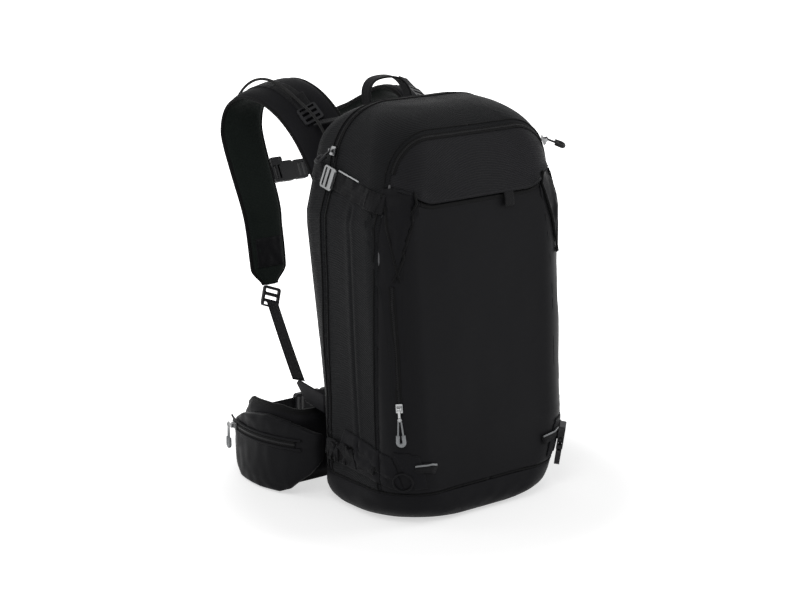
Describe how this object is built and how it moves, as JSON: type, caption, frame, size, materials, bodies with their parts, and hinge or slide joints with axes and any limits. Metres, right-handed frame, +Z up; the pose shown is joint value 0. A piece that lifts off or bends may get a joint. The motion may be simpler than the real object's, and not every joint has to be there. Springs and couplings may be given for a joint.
{
  "type": "avalanche airbag backpack",
  "caption": "Panel-loading ski backpack with harness, hip belt with pocket, ski-carry straps and a stowed blower-driven avalanche airbag, standing on its base.",
  "frame": {"origin": "on the floor under the middle of the bag", "axes": "+Z up, -Y towards the front panel, +Y towards the wearer, -X on the wearer's left"},
  "size_m": [0.3949, 0.4867, 0.5675],
  "materials": {
    "front_fabric": "smooth coated nylon, satin",
    "side_fabric": "ripstop nylon with fine ribs",
    "lid_fabric": "ripstop nylon with fine ribs",
    "boot_fabric": "heavy coated nylon",
    "lining": "light woven lining",
    "back_mesh": "moulded foam under coarse mesh",
    "strap_fabric": "foam with a fine mesh face and woven outer face",
    "webbing": "woven nylon webbing",
    "zip_tape": "coil zip tape",
    "buckle_plastic": "moulded acetal, fine texture",
    "hook_metal": "anodised, satin",
    "slider_metal": "plated zinc",
    "pull_cord": "braided cord with a moulded grip",
    "frame_plastic": "natural polyethylene sheet",
    "stay_aluminium": "mill finish",
    "airbag_fabric": "light coated nylon, folded",
    "blower_plastic": "glass filled nylon",
    "impeller_plastic": "glass filled nylon",
    "motor_steel": "zinc plated steel",
    "duct_rubber": "moulded rubber",
    "cell_wrap": "shrink wrapped cells on a tray",
    "switch_plastic": "moulded",
    "cable_jacket": "extruded jacket",
    "handle_plastic": "moulded, fine texture"
  },
  "bodies": {
    "pack": {"rear_compartment": "side_fabric", "main_compartment": "side_fabric", "front_pocket": "front_fabric", "lid_pocket": "lid_fabric", "base_boot": "boot_fabric", "pocket_divider": "lining", "back_pad": "back_mesh", "lumbar_pad": "back_mesh", "frame_sheet": "frame_plastic", "frame_stays": "stay_aluminium", "zip_tapes": "zip_tape", "shoulder_strap_left": "strap_fabric", "shoulder_strap_right": "strap_fabric", "strap_webbing": "webbing", "strap_ladder_locks": "buckle_plastic", "strap_anchor_tabs": "side_fabric", "load_lifter_webbing": "webbing", "load_lifter_buckles": "buckle_plastic", "hip_wing_left": "strap_fabric", "hip_wing_right": "strap_fabric", "belt_pocket": "front_fabric", "gear_loop": "webbing", "hip_webbing_left": "webbing", "hip_webbing_right": "webbing", "hip_buckle_female": "buckle_plastic", "upper_compression_webbing": "webbing", "lower_compression_webbing": "webbing", "lower_strap_buckle": "buckle_plastic", "ski_strap_keepers": "webbing", "ice_axe_loop": "pull_cord", "front_tab": "webbing", "airbag_bladder": "airbag_fabric", "blower_housing": "blower_plastic", "blower_cover": "blower_plastic", "blower_motor": "motor_steel", "air_duct": "duct_rubber", "capacitor_pack": "cell_wrap", "control_box": "blower_plastic", "trigger_cable": "cable_jacket", "trigger_dock": "buckle_plastic"},
    "impeller": {"blower_impeller": "impeller_plastic"},
    "power_switch": {"power_switch": "switch_plastic"},
    "release_lever": {"release_lever": "motor_steel"},
    "trigger": {"trigger_handle": "handle_plastic"},
    "sternum": {"sternum_strap_left": "webbing", "sternum_strap_right": "webbing", "sternum_buckle_female": "buckle_plastic"},
    "sternum_male": {"sternum_buckle_male": "buckle_plastic"},
    "hip_male": {"hip_buckle_male": "buckle_plastic"},
    "haul_loop": {"haul_loop": "webbing"},
    "upper_hook_left": {"upper_hook_left": "hook_metal"},
    "upper_hook_right": {"upper_hook_right": "hook_metal"},
    "side_zip_slider": {"side_zip_slider": "slider_metal"},
    "side_zip_pull": {"side_zip_pull": "pull_cord"},
    "main_zip_slider": {"main_zip_slider": "slider_metal"},
    "main_zip_pull": {"main_zip_pull": "pull_cord"},
    "lid_zip_slider": {"lid_zip_slider": "slider_metal"},
    "lid_zip_pull": {"lid_zip_pull": "pull_cord"},
    "belt_zip_slider": {"belt_zip_slider": "slider_metal"},
    "belt_zip_pull": {"belt_zip_pull": "pull_cord"}
  },
  "joints": [
    {"name": "impeller_spin", "type": "hinge", "parent": "pack", "child": "impeller", "pos_m": [0, 0.0719, 0.3], "axis": [0, 1, 0], "continuous": true},
    {"name": "power_switch_slide", "type": "slide", "parent": "pack", "child": "power_switch", "axis": [0, 0, 1], "range_m": [0, 0.005]},
    {"name": "trigger_pull", "type": "slide", "parent": "pack", "child": "trigger", "axis": [0, -0.2319, -0.9727], "range_m": [0, 0.06]},
    {"name": "release_lever_turn", "type": "hinge", "parent": "pack", "child": "release_lever", "pos_m": [-0.03, 0.0519, 0.216], "axis": [0, 1, 0], "range_deg": [0, 26]},
    {"name": "sternum_height", "type": "slide", "parent": "pack", "child": "sternum", "axis": [0, -0.4291, -0.9033], "range_m": [-0.02, 0.02]},
    {"name": "sternum_release", "type": "slide", "parent": "sternum", "child": "sternum_male", "axis": [1, 0, 0], "range_m": [0, 0.028], "deforming": ["sternum_strap_right"]},
    {"name": "hip_release", "type": "slide", "parent": "pack", "child": "hip_male", "axis": [1, 0, 0], "range_m": [0, 0.04], "deforming": ["hip_webbing_right"]},
    {"name": "side_zip_slide", "type": "slide", "parent": "pack", "child": "side_zip_slider", "axis": [-0.0197, 0.0785, 0.9967], "range_m": [0, 0.145]},
    {"name": "side_zip_pull_swing", "type": "hinge", "parent": "side_zip_slider", "child": "side_zip_pull", "pos_m": [-0.14558, -0.10429, 0.17], "axis": [-0.7054, 0.7054, -0.0695], "range_deg": [0, 120]},
    {"name": "main_zip_slide", "type": "hinge", "parent": "pack", "child": "main_zip_slider", "pos_m": [-0.06014, 0.041, 0.46764], "axis": [0, 1, 0], "range_deg": [0, 60]},
    {"name": "main_zip_pull_swing", "type": "hinge", "parent": "main_zip_slider", "child": "main_zip_pull", "pos_m": [-0.14636, 0.041, 0.49124], "axis": [0, 1, 0], "range_deg": [-30, 75]},
    {"name": "lid_zip_slide", "type": "hinge", "parent": "pack", "child": "lid_zip_slider", "pos_m": [0.07804, -0.07, 0.46197], "axis": [0, -1, 0], "range_deg": [0, 32]},
    {"name": "lid_zip_pull_swing", "type": "hinge", "parent": "lid_zip_slider", "child": "lid_zip_pull", "pos_m": [0.13148, -0.07438, 0.49173], "axis": [-0.6177, -0.7071, -0.3441], "range_deg": [-30, 75]},
    {"name": "belt_zip_slide", "type": "hinge", "parent": "pack", "child": "belt_zip_slider", "pos_m": [-0.03566, 0.16231, 0.078], "axis": [0, 0, 1], "range_deg": [0, 34]},
    {"name": "belt_zip_pull_swing", "type": "hinge", "parent": "belt_zip_slider", "child": "belt_zip_pull", "pos_m": [-0.20042, 0.21063, 0.078], "axis": [0, 0, 1], "range_deg": [0, 100]},
    {"name": "upper_hook_left_tilt", "type": "hinge", "parent": "pack", "child": "upper_hook_left", "pos_m": [-0.15036, 0.05183, 0.45702], "axis": [-0.2385, 0.1686, -0.9564], "range_deg": [0, 60]},
    {"name": "upper_hook_right_tilt", "type": "hinge", "parent": "pack", "child": "upper_hook_right", "pos_m": [0.15036, 0.05183, 0.45702], "axis": [-0.2385, -0.1686, 0.9564], "range_deg": [0, 60]},
    {"name": "haul_loop_lean", "type": "hinge", "parent": "pack", "child": "haul_loop", "pos_m": [0, 0.09282, 0.512], "axis": [1, 0, 0], "range_deg": [-35, 20]}
  ],
  "couplings": [
    {"joint": "release_lever_turn", "follows": "trigger_pull", "rad_per_m": 7.2}
  ]
}
